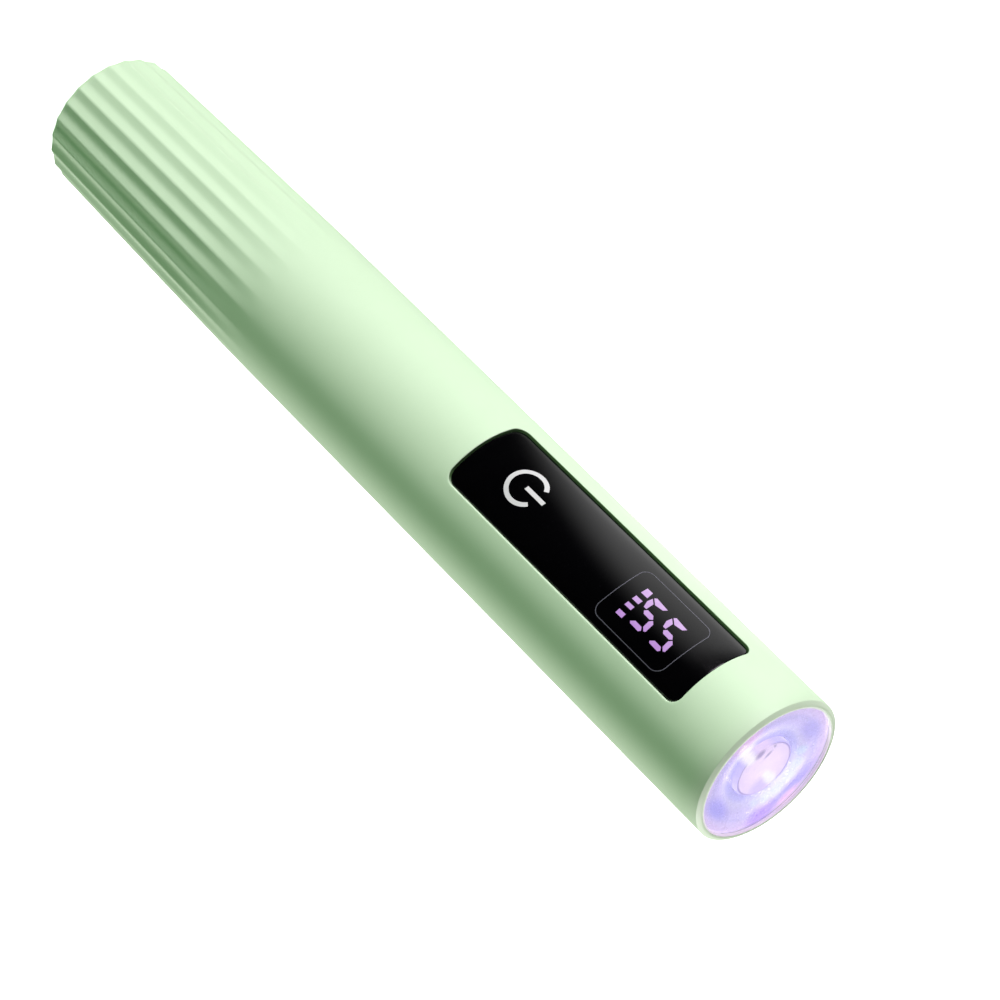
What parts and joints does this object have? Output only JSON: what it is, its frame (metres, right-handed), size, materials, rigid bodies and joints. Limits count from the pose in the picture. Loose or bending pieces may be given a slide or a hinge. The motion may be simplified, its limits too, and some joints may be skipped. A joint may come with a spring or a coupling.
{
  "type": "uv led nail lamp",
  "caption": "Handheld torch-shaped lamp for curing gel nails, with a round light head, a curved glossy display panel and a fluted grip.",
  "frame": {"origin": "centre of the flat tail end, which the lamp stands on", "axes": "+Z along the tube from the tail to the light head, -Y out of the middle of the display panel, +X to the panel's right when it is faced with the light head up"},
  "size_m": [0.022, 0.022, 0.1454],
  "materials": {
    "mint_plastic": "soft satin moulded surface",
    "panel_black": "high gloss tinted window",
    "black_plastic": "fine matte",
    "white_plastic": "satin",
    "diffuser": "milky, lit from behind",
    "clear_resin": "clear, polished",
    "center_resin": "milky optic, lit from behind",
    "reflector": "vacuum metallised, mirror bright",
    "screw_steel": "bright machined",
    "socket_steel": "drawn sheet, satin",
    "cell_steel": "nickel plated can",
    "nickel_strip": "bright rolled strip",
    "spring_wire": "bright plated wire",
    "aluminium": "turned, matte",
    "circuit_board": "solder resist over glass laminate",
    "metal_core_board": "white solder resist over aluminium",
    "ferrite": "matte sintered",
    "capacitor_ceramic": "matte",
    "emitter_ceramic": "matte with a clear dome",
    "gasket_rubber": "matte",
    "foam": "fine closed cell",
    "thermal_pad": "matte, soft",
    "cell_wrap": "heat shrunk sleeve",
    "insulator_paper": "fish paper",
    "red_insulation": "soft gloss",
    "black_insulation": "soft gloss"
  },
  "bodies": {
    "root": {"body_shell": "mint_plastic", "tail_cap": "mint_plastic", "tail_screw_1": "screw_steel", "tail_screw_2": "screw_steel", "display_panel": "panel_black", "panel_adhesive": "foam", "display_diffuser": "diffuser", "display_mask": "black_plastic", "display_module": "white_plastic", "touch_spring": "spring_wire", "icon_backlight": "white_plastic", "main_board": "circuit_board", "main_board_screw_1": "screw_steel", "main_board_screw_2": "screw_steel", "controller_chip": "black_plastic", "boost_inductor": "ferrite", "driver_transistor": "black_plastic", "output_capacitor": "capacitor_ceramic", "battery_connector": "white_plastic", "inner_chassis": "black_plastic", "battery_cell": "cell_steel", "battery_wrap": "cell_wrap", "battery_insulator": "insulator_paper", "protection_board": "circuit_board", "battery_tab_positive": "nickel_strip", "battery_tab_negative": "nickel_strip", "battery_foam": "foam", "battery_lead_red": "red_insulation", "battery_lead_black": "black_insulation", "socket_lead_red": "red_insulation", "socket_lead_black": "black_insulation", "led_lead_red": "red_insulation", "led_lead_black": "black_insulation", "socket_shell": "socket_steel", "socket_tongue": "black_plastic", "socket_board": "circuit_board", "charge_chip": "black_plastic", "front_lens": "clear_resin", "lens_gasket": "gasket_rubber", "reflector_bowl": "reflector", "center_lens": "center_resin", "uv_led_emitter": "emitter_ceramic", "led_board": "metal_core_board", "led_screw_1": "screw_steel", "led_screw_2": "screw_steel", "thermal_pad": "thermal_pad", "heat_sink": "aluminium"}
  },
  "joints": []
}
